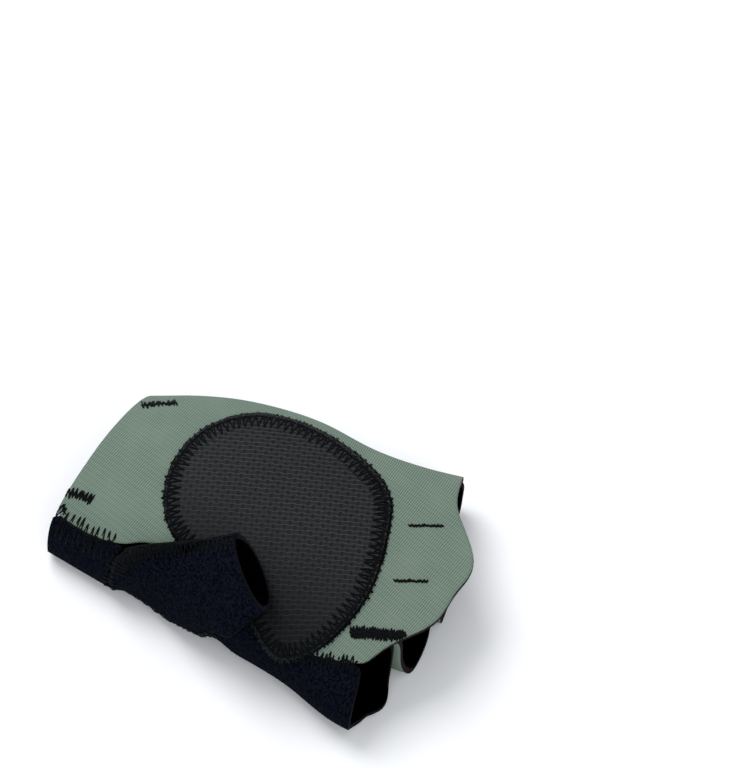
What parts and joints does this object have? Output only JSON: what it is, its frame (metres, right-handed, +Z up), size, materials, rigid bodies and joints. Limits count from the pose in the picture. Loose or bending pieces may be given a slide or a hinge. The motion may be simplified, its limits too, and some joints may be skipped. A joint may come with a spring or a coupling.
{
  "type": "fingerless sport glove",
  "caption": "Fingerless right-hand sport glove of sewn neoprene, palm up: palm panel with a grip pad, folded thumb stall, finger loops and a wrap-over wrist strap.",
  "frame": {"origin": "middle of the glove's footprint, on the surface that it lies on", "axes": "+X from the wrist to the fingers, +Y from the thumb side to the little finger side, +Z up through the palm"},
  "size_m": [0.1474, 0.1046, 0.0448],
  "materials": {
    "sage_neoprene": "matt grey-green ribbed jersey laminated to neoprene",
    "black_neoprene": "matt black smooth jersey laminated to neoprene",
    "grip_cloth": "charcoal rubberised grip cloth with a fine stamped pattern",
    "loop_tape": "black woolly loop tape",
    "hook_tape": "black moulded hook tape"
  },
  "bodies": {
    "root": {"palm_panel": "sage_neoprene", "side_strap_panel": "black_neoprene", "finger_loop_middle": "sage_neoprene", "finger_loop_ring": "sage_neoprene", "finger_loop_little": "sage_neoprene", "grip_pad": "grip_cloth", "thumb_stall": "black_neoprene", "loop_patch": "loop_tape", "hook_patch": "hook_tape"}
  },
  "joints": []
}
